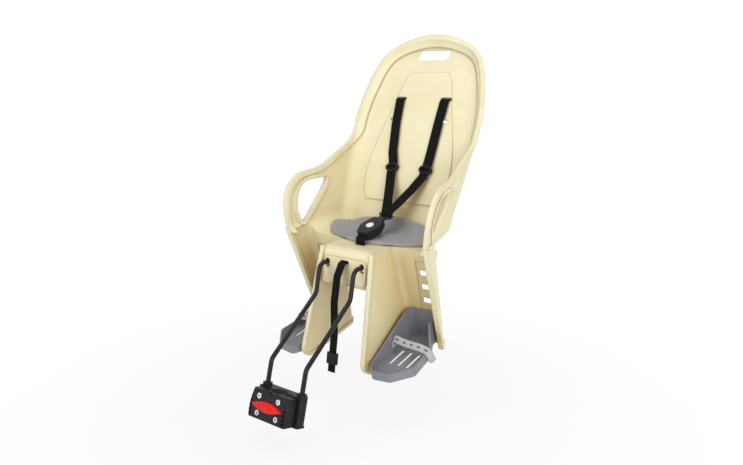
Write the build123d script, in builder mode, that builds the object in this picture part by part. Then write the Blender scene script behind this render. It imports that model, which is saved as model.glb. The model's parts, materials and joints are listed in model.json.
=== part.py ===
"""Child bike seat carried on a sprung wire frame by a clamp block on the seat tube."""

import os
from math import atan, cos, radians, sin, tan

from build123d import *

os.makedirs("parts", exist_ok=True)

# Where the seat stands: the origin is the middle of the tube clamp, -Y is forward
SEAT_Y = 207.0
SEAT_Z = 24.0
WALL = 5.0
RIM = 2.6
RIM_BAND = 11.0
RIM_FOOT = 268.0

# Back rest and bucket
RECLINE = 21.0
BACK_Y = 187.0
BACK_Z = 300.0
BACK_TOP = 449.0
BACK_FILLET = 32.0
BUCKET_DEPTH = 260.0
PAN_REAR = -33.0
PAN_CORNER = 52.0
PAN_CORNER_FRONT = 20.0
BACK_HALF = 150.0
FRONT_HALF = 219.0
LIP_DEPTH = 14.0

# Slots and grip in the back rest
STRAP_WIDTH = 25.0
STRAP_THICK = 1.8
SLOT_X = 64.0
SLOT_V = 295.0
SLOT_PITCH = 54.0
SLOT_GAP = 8.0
GRIP_V = 406.0
GRIP_WIDTH = 92.0
GRIP_HEIGHT = 27.0
PANEL_RISE = 2.5
PAN_SLOPE = 0.07
PAN_FRONT = PAN_REAR - BUCKET_DEPTH * tan(radians(RECLINE) + atan(PAN_SLOPE))

# Leg guards and their ladders
LEG_LEAN = 14.6
LEG_Y = 137.0
LEG_Z = 46.5
LEG_TOP = 235.0
LEG_HEAD = 256.0
INNER_FOOT = 84.0
INNER_TOP = 66.0
OUTER_FOOT = 172.0
OUTER_TOP = 181.0
OUTER_FLARE = 0.25
GUARD_FOOT = 193.0
GUARD_TOP = 73.0
STRUT_FOOT = 20.0
STRUT_TOP = 52.0
CORNER = 14.0
LADDER_X = 140.0
LADDER_WIDTH = 34.0
LADDER_DEEP = 2.0
WINDOW_WIDTH = 22.0
WINDOW_HEIGHT = 14.0
WINDOW_PITCH = 33.0
WINDOW_FIRST = 36.0
WINDOW_COUNT = 5

# Wire carrier
WIRE = 10.0
WIRE_X = 48.0
WIRE_Z = 226.0
WIRE_REAR = 170.0
FIT = 0.05
HOLE_PLAY = 2.0

# Clamp block
TUBE = 28.6
LEAN = 14.0
LINER = 2.0
LINER_LONG = 56.0
SPLIT = 1.5
BLOCK_HALF = 57.0
BLOCK_TALL = 60.0
BLOCK_REAR = 30.0
PLATE_HALF = 50.0
PLATE_TALL = 56.0
PLATE_HEAD = 21.0
PLATE_FRONT = 28.5
PLATE_FOOT = 28.0
WIRE_BACK = 14.0
SCREW_X = 26.0
SCREW_Z = 17.0
SCREW = 6.0
SOCKET_DEEP = 44.0
LATCH_Z = 0.0
LATCH_THICK = 3.0
LATCH_TRAVEL = 4.0
NOTCH = 2.5
PLAY = 0.4

# Harness
BUCKLE_LONG = 66.0
BUCKLE_WIDE = 52.0
BUCKLE_TILT = 22.0
BUCKLE_Y = 62.0
BUCKLE_Z = 279.5
BUTTON = 17.8
BUTTON_TRAVEL = 3.0

# Saddles, pad and straps
SADDLE_Y = (84.0, 124.0)
SADDLE_LONG = 18.0
SADDLE_GAP = 1.0
SADDLE_SCREW = 6.0
SADDLE_SCREW_X = 24.0
APRON_FOOT = 178.0
CROTCH_Y = 54.0
SAFETY_Z = 231.0
SAFETY_WIDTH = 20.0
APRON_LEAN = 6.0
APRON_Y = 7.0
PAD_GAP = 0.3
PAD_THICK = 8.0
PAD_FRONT = 66.0
PAD_TOP = 304.0
SLIDER_V = 120.0
SLIDER_REACH = 15.0
HARNESS_SHIFT = 8.0
STRAP_DROOP = 4.0

# Block details
NUT_FLATS = 10.0
NUT_TALL = 5.5
SCREW_SEAT = 22.0
ARM_WIDE = 10.0
HOOK_FRONT = 2.5
HOOK_REAR = 21.0
HOOK_EDGE = 1.6
BAR_DEEP = 3.0
BUTTON_SEAT = 27.0
LATCH_BAR = -BUTTON_SEAT
RED_HALF = 41.0
SPRING_WIRE = 0.6
SPRING_SAG = 0.55
RED_SAG = 10.5
RED_DEEP = 6.0
COMB_WIDE = 6.0
COMB_PITCH = 8.4
COMB_DEEP = 4.0

# Footrest cups
CUP_IN = 94.5
CUP_OUT = 160.0
CUP_FLOOR = 11.0
CUP_WALL = 3.5
CUP_TALL = 68.0
CUP_GAP = 1.2
TONGUE_WIDE = 18.0
TONGUE_THICK = 2.2
BUTTON_Y = -2.0

RAIL_FOOT = CUP_FLOOR + 2.0
RAIL_TALL = CUP_TALL - 8.0
RAIL_WIDE = LADDER_WIDTH - 2.0
RAIL_DEEP = CUP_GAP + LADDER_DEEP + 0.4
FOOT_TRAVEL = 3 * WINDOW_PITCH
LADDER_TALL = RAIL_TALL + FOOT_TRAVEL + 26.0
HOOK_OUT = WIRE_X + WIRE / 2 + 0.6 + HOOK_EDGE
HOOK_IN = RED_HALF - ARM_WIDE
MIDDLE_FRONT = (Align.CENTER, Align.MIN, Align.CENTER)
MIDDLE_FOOT = (Align.CENTER, Align.CENTER, Align.MIN)

SEAT = Plane(origin=(0, SEAT_Y, SEAT_Z))
SIDE = Plane(origin=SEAT.origin, x_dir=(0, 1, 0), z_dir=(1, 0, 0))
FRONT = Plane(origin=SEAT.origin, x_dir=(1, 0, 0), z_dir=(0, -1, 0))
BACK = Plane(
    origin=(0, SEAT_Y + BACK_Y, SEAT_Z + BACK_Z),
    x_dir=(1, 0, 0),
    z_dir=(0, -cos(radians(RECLINE)), sin(radians(RECLINE))),
)
LEG = Plane(
    origin=(0, SEAT_Y + LEG_Y, SEAT_Z + LEG_Z),
    x_dir=(1, 0, 0),
    z_dir=(0, -sin(radians(LEG_LEAN)), cos(radians(LEG_LEAN))),
)
LEG_SIDE = Plane(origin=LEG.origin, x_dir=LEG.y_dir, z_dir=(1, 0, 0))
BLOCK = Plane(origin=(0, 0, 0), x_dir=(1, 0, 0), z_dir=(0, sin(radians(LEAN)), cos(radians(LEAN))))
BLOCK_FACE = Plane(origin=(0, 0, 0), x_dir=(1, 0, 0), z_dir=-BLOCK.y_dir)
BLOCK_SIDE = Plane(origin=(0, 0, 0), x_dir=BLOCK.y_dir, z_dir=(1, 0, 0))


def mix(first, last, share):
    return first + (last - first) * share


def bucket(grow):
    side = BACK_HALF + 7
    with BuildPart() as solid:
        for depth in (-12, BUCKET_DEPTH + 20):
            share = depth / BUCKET_DEPTH
            half = mix(BACK_HALF, FRONT_HALF, share) + grow
            pan = mix(PAN_REAR, PAN_FRONT, share) - grow
            corner = mix(PAN_CORNER, PAN_CORNER_FRONT, share) + grow
            right = [
                (mix(side - 2, FRONT_HALF - 10, share) + grow, 85),
                (mix(side + 7, FRONT_HALF - 29, share) + grow, 180),
                (mix(side + 14, BACK_HALF + 28, share) + grow, 270),
                (mix(side - 1, BACK_HALF + 6, share) + grow, 347),
                (BACK_HALF - 16 + grow, 400),
                (BACK_HALF - 68 + grow, BACK_TOP - 16 + grow / 2),
            ]
            left = [(-x, v) for x, v in reversed(right)]
            with BuildSketch(BACK.offset(depth)):
                with BuildLine():
                    Line((-half + corner, pan), (half - corner, pan))
                    JernArc((half - corner, pan), (1, 0), corner, 90)
                    Spline(
                        (half, pan + corner), *right, (0, BACK_TOP + grow),
                        *left, (-half, pan + corner),
                        tangents=((0, 1), (0, -1)),
                    )
                    JernArc((-half, pan + corner), (0, -1), corner, 90)
                make_face()
        loft(ruled=True)
        split(bisect_by=BACK.offset(-grow), keep=Keep.TOP)
        rear = solid.faces().sort_by(Axis(BACK.origin, BACK.z_dir))[0]
        fillet(rear.edges(), BACK_FILLET + grow)
    return solid.part


def back_point(v, n):
    y = BACK_Y + v * sin(radians(RECLINE)) - n * cos(radians(RECLINE))
    z = BACK_Z + v * cos(radians(RECLINE)) + n * sin(radians(RECLINE))
    return (y, z)


def pan_height(y):
    return 269.0 + PAN_SLOPE * (y - 176.0)


def apron_back(z):
    share = (z - APRON_FOOT) / (pan_height(APRON_Y) - APRON_FOOT)
    return APRON_Y - APRON_LEAN * (1 - share) + WALL


def rim_prism(inset):
    top = back_point(BACK_TOP + 20, LIP_DEPTH - inset)
    waist = back_point(215, LIP_DEPTH + 2 - inset)
    foot = (29 + inset, 258)
    with BuildPart() as solid:
        with BuildSketch(SIDE.offset(-300)):
            with BuildLine():
                Line(top, waist)
                Spline(
                    waist, (182 + inset * 0.7, 447 - inset * 0.7), (113 + inset * 0.2, 412 - inset),
                    (62 + inset * 0.4, 400 - inset), (25 + inset, 356 - inset * 0.3),
                    (19 + inset, 312), foot,
                    tangents=((-sin(radians(RECLINE)), -cos(radians(RECLINE))), (0.3, -1)),
                )
                Polyline(foot, (36 + inset, 200), (620, 200), (620, 790), top)
            make_face()
        extrude(amount=600)
    return solid.part


def loop_prism(grow):
    with BuildPart() as solid:
        with BuildSketch(SIDE.offset(-300)):
            with BuildLine():
                Spline(
                    (134 + grow * 0.8, 390), (112, 388 + grow), (72, 379 + grow), (52 - grow, 348),
                    (52 - grow, 306), (60 - grow * 0.3, 292 - grow), (84 + grow * 0.5, 313 - grow),
                    (116 + grow * 0.7, 352 - grow * 0.7),
                    periodic=True,
                )
            make_face()
        extrude(amount=600)
    return solid.part


def guard_solid(inset, low, high):
    reach = 270.0
    with BuildPart() as solid:
        for level in (low, high):
            share = level / LEG_TOP
            inner = mix(INNER_FOOT, INNER_TOP, share) + inset
            outer = mix(OUTER_FOOT, OUTER_TOP, share) - inset
            rear = WALL - inset
            with BuildSketch(LEG.offset(level)) as plan:
                with BuildLine():
                    Polyline(
                        (inner, -reach), (inner, rear), (outer, rear),
                        (outer + OUTER_FLARE * (reach + rear), -reach),
                        close=True,
                    )
                make_face()
                corners = plan.vertices().group_by(Axis.Y)[-1]
                fillet(corners, CORNER + WALL - inset)
        loft(ruled=True)
    return solid.part


def guard_profile(inset, foot, head, top, start, width, round_foot):
    with BuildPart() as solid:
        with BuildSketch(LEG_SIDE.offset(start)) as view:
            with BuildLine():
                Polyline(
                    (-foot + inset, inset), (-head + inset, LEG_TOP + 6), (-head + inset, top),
                    (20, top), (20, inset),
                    close=True,
                )
            make_face()
            if round_foot:
                toe = view.vertices().sort_by(Axis.X)[0]
                fillet(toe, 24 - inset)
        extrude(amount=width)
    return solid.part


def guard_sides(inset):
    with BuildPart() as solid:
        add(guard_profile(inset, GUARD_FOOT, GUARD_TOP, LEG_TOP + 7, 40, 84, True))
        add(guard_profile(inset, STRUT_FOOT, STRUT_TOP, LEG_HEAD, 124, 120, False))
    return solid.part


def strap_along(points, width, thick):
    path = [Vector(*p) for p in points]
    last = len(path) - 1
    with BuildPart() as solid:
        for index, spot in enumerate(path):
            ahead = path[min(index + 1, last)]
            behind = path[max(index - 1, 0)]
            run = (ahead - behind).normalized()
            across = Vector(1, 0, 0) - run * run.X
            with BuildSketch(Plane(origin=spot, x_dir=across, z_dir=run)):
                Rectangle(width, thick)
        loft(ruled=True)
    return solid.part


cavity = bucket(0)
outer = bucket(WALL)
rim_outer = bucket(WALL + RIM)
rim_cavity = bucket(-RIM)
rim_all = rim_prism(0)
rim_less = rim_prism(RIM_BAND)
loop_hole = loop_prism(0)
loop_band = loop_prism(RIM_BAND - 2)

leg_room = guard_solid(WALL / 2, 150, LEG_TOP + 12)

# The bowl stops short of its rim, and the legs come through the pan in front of the thigh edges
with BuildPart() as bowl:
    add(outer)
    add(cavity, mode=Mode.SUBTRACT, clean=False)
    add(rim_less, mode=Mode.INTERSECT, clean=False)
    add([loop_band, leg_room, leg_room.mirror(Plane.YZ)], mode=Mode.SUBTRACT, clean=False)

# A thicker skin of the same form gives the rims
with BuildPart() as thick:
    add(rim_outer)
    add(rim_cavity, mode=Mode.SUBTRACT, clean=False)

with BuildPart() as edge_band:
    add(rim_all)
    add(rim_less, mode=Mode.SUBTRACT)
    with Locations((0, SEAT_Y, SEAT_Z + RIM_FOOT)):
        Box(700, 900, 200, align=(Align.CENTER, Align.CENTER, Align.MAX), mode=Mode.SUBTRACT)

with BuildPart() as loop_ring:
    add(loop_band)
    add(loop_hole, mode=Mode.SUBTRACT)

with BuildPart() as bowl_rim:
    add(thick.part)
    add(edge_band.part, mode=Mode.INTERSECT, clean=False)

with BuildPart() as loop_rim:
    add(thick.part)
    add(loop_ring.part, mode=Mode.INTERSECT, clean=False)

rimmed_bowl = bowl.part.fuse(bowl_rim.part, loop_rim.part, glue=True)

with BuildPart() as guard:
    add(guard_solid(0, 0, LEG_HEAD + 6))
    add(guard_sides(4), mode=Mode.INTERSECT)
    add(guard_solid(WALL, -10, LEG_HEAD + 12), mode=Mode.SUBTRACT)

with BuildPart() as guard_rim:
    add(guard_solid(-RIM, 0, LEG_HEAD + 6))
    add(guard_solid(WALL + RIM, -10, LEG_HEAD + 12), mode=Mode.SUBTRACT)
    add(guard_sides(0), mode=Mode.INTERSECT)
    add(guard_sides(RIM_BAND - 2), mode=Mode.SUBTRACT)

THIGH = 11.4
thigh_y = LEG_Y - LEG_TOP * sin(radians(LEG_LEAN)) + 10.0
with BuildPart() as low:
    add(guard.part)
    add(guard_rim.part)
    with BuildSketch(SIDE.offset(INNER_TOP + CORNER)):
        with Locations((thigh_y + 8, pan_height(thigh_y) - 8)):
            Circle(THIGH)
    extrude(amount=OUTER_TOP - INNER_TOP - 2 * CORNER)
    add(cavity, mode=Mode.SUBTRACT, clean=False)
    with Locations(LEG):
        with Locations((LADDER_X, LADDER_DEEP / 2 - 2, RAIL_FOOT - PLAY)):
            Box(LADDER_WIDTH, LADDER_DEEP + 4, LADDER_TALL, align=MIDDLE_FOOT, mode=Mode.SUBTRACT)
        for step in range(WINDOW_COUNT):
            with Locations((LADDER_X, 0, WINDOW_FIRST + step * WINDOW_PITCH)):
                Box(WINDOW_WIDTH, 30, WINDOW_HEIGHT, mode=Mode.SUBTRACT)

low_right = low.part.mirror(Plane.YZ)

# Nose strip bent down into the apron
with BuildPart() as nose:
    with BuildSketch(SIDE.offset(-INNER_TOP - 2)):
        with BuildLine():
            bend = FilletPolyline(
                (110, pan_height(110)), (APRON_Y, pan_height(APRON_Y)), (APRON_Y - APRON_LEAN, APRON_FOOT),
                radius=16,
            )
            offset(bend, amount=-WALL, side=Side.LEFT)
        make_face()
    extrude(amount=2 * INNER_TOP + 4)

# Raised panel on the apron's face
with BuildPart() as apron_panel:
    with BuildSketch(FRONT.offset(-6)):
        with Locations((0, (APRON_FOOT + 240) / 2 + 2)):
            RectangleRounded(2 * INNER_TOP - 16, 240 - APRON_FOOT - 6, 12)
    extrude(amount=7)

# Raised middle panel of the back rest
with BuildPart() as back_panel:
    with BuildSketch(BACK.offset(-1)):
        with BuildLine():
            Polyline((-104, 40), (104, 40))
            Spline((104, 40), (118, 120), (100, 215), (72, 320), (52, 362), tangents=((0.5, 1), (-1, 1)))
            Line((52, 362), (-52, 362))
            Spline(
                (-52, 362), (-72, 320), (-100, 215), (-118, 120), (-104, 40),
                tangents=((-1, -1), (0.5, -1)),
            )
        make_face()
    extrude(amount=1 + PANEL_RISE)

# Saddles under the pan for the wire
with BuildPart() as saddles:
    for y in SADDLE_Y:
        with BuildSketch(SEAT.offset(WIRE_Z)):
            with Locations((0, y)):
                Rectangle(2 * WIRE_X + 2 * WIRE + 4, SADDLE_LONG)
        extrude(amount=pan_height(y) - WALL / 2 - WIRE_Z)

# Everything that is cut through the moulding
with BuildPart() as cuts:
    with BuildSketch(BACK.offset(-20)):
        with Locations((0, GRIP_V)):
            RectangleRounded(GRIP_WIDTH, GRIP_HEIGHT, GRIP_HEIGHT * 0.45)
        for drop in (0, SLOT_PITCH):
            with Locations((-SLOT_X - drop * 0.08, SLOT_V - drop), (SLOT_X + drop * 0.08, SLOT_V - drop)):
                SlotOverall(STRAP_WIDTH + 5, SLOT_GAP)
    extrude(amount=40)
    with BuildSketch(SEAT.offset(245)):
        with Locations((0, CROTCH_Y)):
            SlotOverall(STRAP_WIDTH + 5, SLOT_GAP)
    extrude(amount=40)
    with BuildSketch(FRONT.offset(-20)):
        with Locations((-WIRE_X, WIRE_Z - 2), (WIRE_X, WIRE_Z - 2)):
            SlotOverall(WIRE + 10, WIRE + HOLE_PLAY, rotation=90)
        with Locations((0, SAFETY_Z)):
            SlotOverall(SAFETY_WIDTH + 5, SLOT_GAP)
    extrude(amount=50)
    with BuildSketch(FRONT.offset(-WIRE_REAR - 30)):
        with Locations((-WIRE_X, WIRE_Z), (WIRE_X, WIRE_Z)):
            Circle(WIRE / 2 + FIT)
    extrude(amount=WIRE_REAR + 8)
    with BuildSketch(SEAT.offset(WIRE_Z - 1)):
        for y in SADDLE_Y:
            with Locations((-SADDLE_SCREW_X, y), (SADDLE_SCREW_X, y)):
                Circle(SADDLE_SCREW / 2)
    extrude(amount=19)

with BuildPart() as seat_shell:
    add(rimmed_bowl)
    add([low.part, low_right], clean=False)
    add([nose.part, apron_panel.part, back_panel.part, saddles.part], clean=False)
    add(cuts.part, mode=Mode.SUBTRACT, clean=False)

pad_outer = bucket(-PAD_GAP)
pad_inner = bucket(-PAD_GAP - PAD_THICK)
with BuildPart() as seat_pad:
    add(pad_outer)
    add(pad_inner, mode=Mode.SUBTRACT)
    with BuildSketch(SEAT.offset(230)) as plan:
        with BuildLine():
            Spline(
                (0, PAD_FRONT), (78, PAD_FRONT + 4), (132, 96), (146, 130), (142, 178), (128, 240),
                tangents=((1, 0), (-0.2, 1)),
            )
            Line((128, 240), (-128, 240))
            Spline(
                (-128, 240), (-142, 178), (-146, 130), (-132, 96), (-78, PAD_FRONT + 4), (0, PAD_FRONT),
                tangents=((-0.2, -1), (1, 0)),
            )
        make_face()
    extrude(amount=PAD_TOP - 230, mode=Mode.INTERSECT)

# One bent rod, from the left end round under the seat to the right end
def block_point(x, y, z):
    return BLOCK.from_local_coords((x, y, z))


def seat_point(x, y, z):
    return SEAT.from_local_coords((x, y, z))


WIRE_END = BLOCK_TALL / 2 - SOCKET_DEEP + 1
WIRE_KNEE = 83.0
half_path = [
    block_point(WIRE_X, WIRE_BACK, WIRE_END),
    block_point(WIRE_X, WIRE_BACK, WIRE_KNEE),
    seat_point(WIRE_X, -38, 163),
    seat_point(WIRE_X, -26, WIRE_Z),
    seat_point(WIRE_X, WIRE_REAR, WIRE_Z),
]
other_half = [Vector(-p.X, p.Y, p.Z) for p in reversed(half_path)]
with BuildPart() as carrier_wire:
    with BuildLine() as bend:
        FilletPolyline(*half_path, *other_half, radius=(20, 22, 18, 30, 30, 18, 22, 20))
    with BuildSketch(Plane(origin=half_path[0], z_dir=BLOCK.z_dir)):
        Circle(WIRE / 2)
    sweep(path=bend.line)
    with Locations(BLOCK):
        for x in (-WIRE_X, WIRE_X):
            with Locations((x, WIRE_BACK + WIRE / 2 - NOTCH, LATCH_Z)):
                Box(WIRE + 4, 10, LATCH_THICK + 3, align=MIDDLE_FRONT, mode=Mode.SUBTRACT)


def saddle_clamp(y):
    with BuildPart() as solid:
        with BuildSketch(SEAT.offset(WIRE_Z - WIRE)):
            with Locations((0, y)):
                RectangleRounded(2 * WIRE_X + 2 * WIRE + 4, SADDLE_LONG, 4)
                with Locations((-SADDLE_SCREW_X, 0), (SADDLE_SCREW_X, 0)):
                    Circle(SADDLE_SCREW / 2 + 0.3, mode=Mode.SUBTRACT)
        extrude(amount=WIRE - SADDLE_GAP)
        with BuildSketch(FRONT.offset(-y - SADDLE_LONG)):
            with Locations((-WIRE_X, WIRE_Z), (WIRE_X, WIRE_Z)):
                Circle(WIRE / 2 + FIT)
        extrude(amount=2 * SADDLE_LONG, mode=Mode.SUBTRACT)
    return solid.part


with BuildPart() as carrier_clamp_front:
    add(saddle_clamp(SADDLE_Y[0]))
with BuildPart() as carrier_clamp_rear:
    add(saddle_clamp(SADDLE_Y[1]))

with BuildPart() as carrier_screws:
    spots = [(x, y) for y in SADDLE_Y for x in (-SADDLE_SCREW_X, SADDLE_SCREW_X)]
    with BuildSketch(SEAT.offset(WIRE_Z - WIRE - 5)):
        with Locations(*spots):
            Circle(SADDLE_SCREW)
            RegularPolygon(SADDLE_SCREW / 2, 6, mode=Mode.SUBTRACT)
    extrude(amount=3)
    with BuildSketch(SEAT.offset(WIRE_Z - WIRE - 2)):
        with Locations(*spots):
            Circle(SADDLE_SCREW)
    extrude(amount=2)
    with BuildSketch(SEAT.offset(WIRE_Z - WIRE)):
        with Locations(*spots):
            Circle(SADDLE_SCREW / 2 - FIT)
    extrude(amount=WIRE + 16)

GRIP_R = TUBE / 2 + LINER + FIT
with BuildPart() as mount_block:
    with BuildSketch(BLOCK.offset(-BLOCK_TALL / 2)) as plan:
        with Locations((0, (SPLIT + BLOCK_REAR) / 2)):
            Rectangle(2 * BLOCK_HALF, BLOCK_REAR - SPLIT)
        fillet(plan.vertices().group_by(Axis.Y)[-1], 12)
    extrude(amount=BLOCK_TALL)
    with Locations(BLOCK):
        for x in (-WIRE_X, WIRE_X):
            with Locations((x, WIRE_BACK, BLOCK_TALL / 2)):
                Cylinder(WIRE / 2 + 5, 6, align=MIDDLE_FOOT)
        with Locations((0, BLOCK_REAR - 4, -BLOCK_TALL / 2)):
            Box(2 * BLOCK_HALF - 20, 22, 5, align=(Align.CENTER, Align.CENTER, Align.MAX))
        Cylinder(GRIP_R, BLOCK_TALL + 30, mode=Mode.SUBTRACT)
        for x in (-WIRE_X, WIRE_X):
            with Locations((x, WIRE_BACK, BLOCK_TALL / 2 - SOCKET_DEEP)):
                Cylinder(WIRE / 2 + FIT, 2 * BLOCK_TALL, align=MIDDLE_FOOT, mode=Mode.SUBTRACT)
        for side in (-1, 1):
            with Locations((side * (HOOK_IN + HOOK_OUT) / 2, 0, LATCH_Z)):
                hook_wide = HOOK_OUT - HOOK_IN + 2 * PLAY
                hook_room = HOOK_REAR + LATCH_TRAVEL + PLAY
                hook_tall = LATCH_THICK + 2 * PLAY
                Box(hook_wide, hook_room, hook_tall, align=MIDDLE_FRONT, mode=Mode.SUBTRACT)
    with BuildSketch(BLOCK_FACE.offset(-BLOCK_REAR - 1)):
        with GridLocations(2 * SCREW_X, 2 * SCREW_Z, 2, 2):
            Circle(SCREW / 2 + 0.3)
    extrude(amount=BLOCK_REAR + 10, mode=Mode.SUBTRACT)
    with BuildSketch(BLOCK_FACE.offset(-BLOCK_REAR - 1)):
        with GridLocations(2 * SCREW_X, 2 * SCREW_Z, 2, 2):
            RegularPolygon(NUT_FLATS / 2 + FIT, 6, major_radius=False)
    extrude(amount=NUT_TALL + 1.5, mode=Mode.SUBTRACT)

with BuildPart() as clamp_plate:
    head = PLATE_TALL / 2
    with BuildSketch(BLOCK_SIDE.offset(-PLATE_HALF)):
        with BuildLine():
            Polyline((-PLATE_FOOT, -head), (-SPLIT, -head), (-SPLIT, head), (-PLATE_HEAD, head))
            ThreePointArc((-PLATE_HEAD, head), (-PLATE_FRONT, 0), (-PLATE_FOOT, -head))
        make_face()
    extrude(amount=2 * PLATE_HALF)
    fillet(clamp_plate.edges().filter_by(GeomType.CIRCLE), 4)
    with Locations(BLOCK):
        Cylinder(GRIP_R, BLOCK_TALL + 30, mode=Mode.SUBTRACT)
        slot_tall = LATCH_THICK + 2 * PLAY
        slot_deep = BAR_DEEP + LATCH_TRAVEL + 2 * SPRING_SAG
        with Locations((0, LATCH_BAR - PLAY, LATCH_Z)):
            Box(2 * (RED_HALF + PLAY), slot_deep + PLAY, slot_tall, align=MIDDLE_FRONT, mode=Mode.SUBTRACT)
        for side in (-1, 1):
            with Locations((side * (HOOK_IN + ARM_WIDE / 2), LATCH_BAR - PLAY, LATCH_Z)):
                Box(ARM_WIDE + 2 * PLAY, PLATE_FRONT, slot_tall, align=MIDDLE_FRONT, mode=Mode.SUBTRACT)
            for step in range(6):
                comb_z = (step - 2.5) * COMB_PITCH
                with Locations((side * (PLATE_HALF - 4.5), COMB_DEEP - PLATE_FRONT, comb_z)):
                    Box(
                        COMB_WIDE, PLATE_FRONT, COMB_PITCH * 0.65,
                        align=(Align.CENTER, Align.MAX, Align.CENTER), mode=Mode.SUBTRACT,
                    )
    with BuildSketch(BLOCK_FACE.offset(-10)):
        with GridLocations(2 * SCREW_X, 2 * SCREW_Z, 2, 2):
            Circle(SCREW / 2 + 0.3)
    extrude(amount=PLATE_FRONT + 20, mode=Mode.SUBTRACT)
    with BuildSketch(BLOCK_FACE.offset(SCREW_SEAT)):
        with GridLocations(2 * SCREW_X, 2 * SCREW_Z, 2, 2):
            Circle(SCREW + 0.6)
    extrude(amount=30, mode=Mode.SUBTRACT)
    with BuildSketch(BLOCK_FACE.offset(-PLATE_FRONT)):
        with Locations((0, PLATE_TALL / 2 + 20)):
            Circle(25)
    extrude(amount=3 * PLATE_FRONT, mode=Mode.SUBTRACT)
    with BuildSketch(BLOCK_FACE.offset(BUTTON_SEAT - LATCH_TRAVEL - PLAY)):
        with BuildLine():
            ThreePointArc((-RED_HALF - PLAY, 0), (0, RED_SAG + PLAY), (RED_HALF + PLAY, 0))
            ThreePointArc((RED_HALF + PLAY, 0), (0, -RED_SAG - PLAY), (-RED_HALF - PLAY, 0))
        make_face()
    extrude(amount=40, mode=Mode.SUBTRACT)

with BuildPart() as clamp_screws:
    with BuildSketch(BLOCK_FACE.offset(SCREW_SEAT)):
        with GridLocations(2 * SCREW_X, 2 * SCREW_Z, 2, 2):
            Circle(SCREW - 0.4)
    extrude(amount=2.5)
    with BuildSketch(BLOCK_FACE.offset(SCREW_SEAT + 2.5)):
        with GridLocations(2 * SCREW_X, 2 * SCREW_Z, 2, 2):
            Circle(SCREW - 0.4)
            RegularPolygon(SCREW * 0.45, 6, mode=Mode.SUBTRACT)
    extrude(amount=3.5)
    with BuildSketch(BLOCK_FACE.offset(-BLOCK_REAR + 1)):
        with GridLocations(2 * SCREW_X, 2 * SCREW_Z, 2, 2):
            Circle(SCREW / 2)
    extrude(amount=SCREW_SEAT + BLOCK_REAR - 1)

with BuildPart() as clamp_nuts:
    with BuildSketch(BLOCK_FACE.offset(-BLOCK_REAR + 0.5)):
        with GridLocations(2 * SCREW_X, 2 * SCREW_Z, 2, 2):
            RegularPolygon(NUT_FLATS / 2, 6, major_radius=False)
            Circle(SCREW / 2 + 0.02, mode=Mode.SUBTRACT)
    extrude(amount=NUT_TALL - 0.5)


def liner(rear):
    with BuildPart() as solid:
        with BuildSketch(BLOCK.offset(-LINER_LONG / 2)):
            Circle(TUBE / 2 + LINER)
            Circle(TUBE / 2, mode=Mode.SUBTRACT)
            cut_edge = SPLIT if rear else -SPLIT
            cut_side = Align.MAX if rear else Align.MIN
            with Locations((0, cut_edge)):
                Rectangle(3 * TUBE, 2 * TUBE, align=(Align.CENTER, cut_side), mode=Mode.SUBTRACT)
        extrude(amount=LINER_LONG)
    return solid.part


with BuildPart() as tube_liner_rear:
    add(liner(True))
with BuildPart() as tube_liner_front:
    add(liner(False))

with BuildPart() as release_button:
    with BuildSketch(BLOCK_FACE.offset(BUTTON_SEAT)):
        with BuildLine():
            ThreePointArc((-RED_HALF, 0), (0, -RED_SAG), (RED_HALF, 0))
            ThreePointArc((RED_HALF, 0), (0, RED_SAG), (-RED_HALF, 0))
        make_face()
    extrude(amount=RED_DEEP, taper=6)
    with BuildSketch(BLOCK_FACE.offset(BUTTON_SEAT + RED_DEEP - 1)):
        SlotOverall(RED_HALF * 0.72, RED_SAG * 0.95)
    extrude(amount=4.5, taper=14)

with BuildPart() as latch_plate:
    with BuildSketch(BLOCK.offset(LATCH_Z - LATCH_THICK / 2)):
        with Locations((0, LATCH_BAR)):
            Rectangle(2 * RED_HALF, BAR_DEEP, align=(Align.CENTER, Align.MIN))
        for side in (-1, 1):
            with Locations((side * (HOOK_IN + ARM_WIDE / 2), LATCH_BAR)):
                Rectangle(ARM_WIDE, HOOK_REAR - LATCH_BAR, align=(Align.CENTER, Align.MIN))
            with Locations((side * (HOOK_IN + HOOK_OUT) / 2, HOOK_FRONT)):
                Rectangle(HOOK_OUT - HOOK_IN, HOOK_REAR - HOOK_FRONT, align=(Align.CENTER, Align.MIN))
        hole_rear = WIRE_BACK + WIRE / 2 - NOTCH + PLAY
        hole_front = WIRE_BACK - WIRE / 2 - LATCH_TRAVEL - PLAY
        for x in (-WIRE_X, WIRE_X):
            with Locations((x, (hole_rear + hole_front) / 2)):
                Rectangle(WIRE + 1.2, hole_rear - hole_front, mode=Mode.SUBTRACT)
    extrude(amount=LATCH_THICK)

with BuildPart() as latch_spring:
    with BuildSketch(BLOCK.offset(LATCH_Z - 1)):
        with BuildLine():
            spring_front = LATCH_BAR + BAR_DEEP + SPRING_WIRE / 2
            spring_rear = LATCH_BAR + slot_deep - SPRING_WIRE / 2
            ThreePointArc((-30, spring_rear), (0, spring_front), (30, spring_rear))
        trace(line_width=SPRING_WIRE)
    extrude(amount=2)


def cup_plan(level, inset):
    with BuildSketch(LEG.offset(level)) as plan:
        with BuildLine():
            Polyline(
                (CUP_IN, -CUP_GAP), (CUP_IN, -158), (112, -187), (156, -181), (CUP_OUT + 30, -140),
                (CUP_OUT + 22, -66), (CUP_OUT, -26), (CUP_OUT, -CUP_GAP),
                close=True,
            )
        make_face()
        fillet(plan.vertices().group_by(Axis.Y)[0:-1], 15)
        fillet(plan.vertices().group_by(Axis.Y)[-1], 10)
        if inset:
            offset(amount=-inset, mode=Mode.REPLACE)
    return plan.sketch


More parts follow.
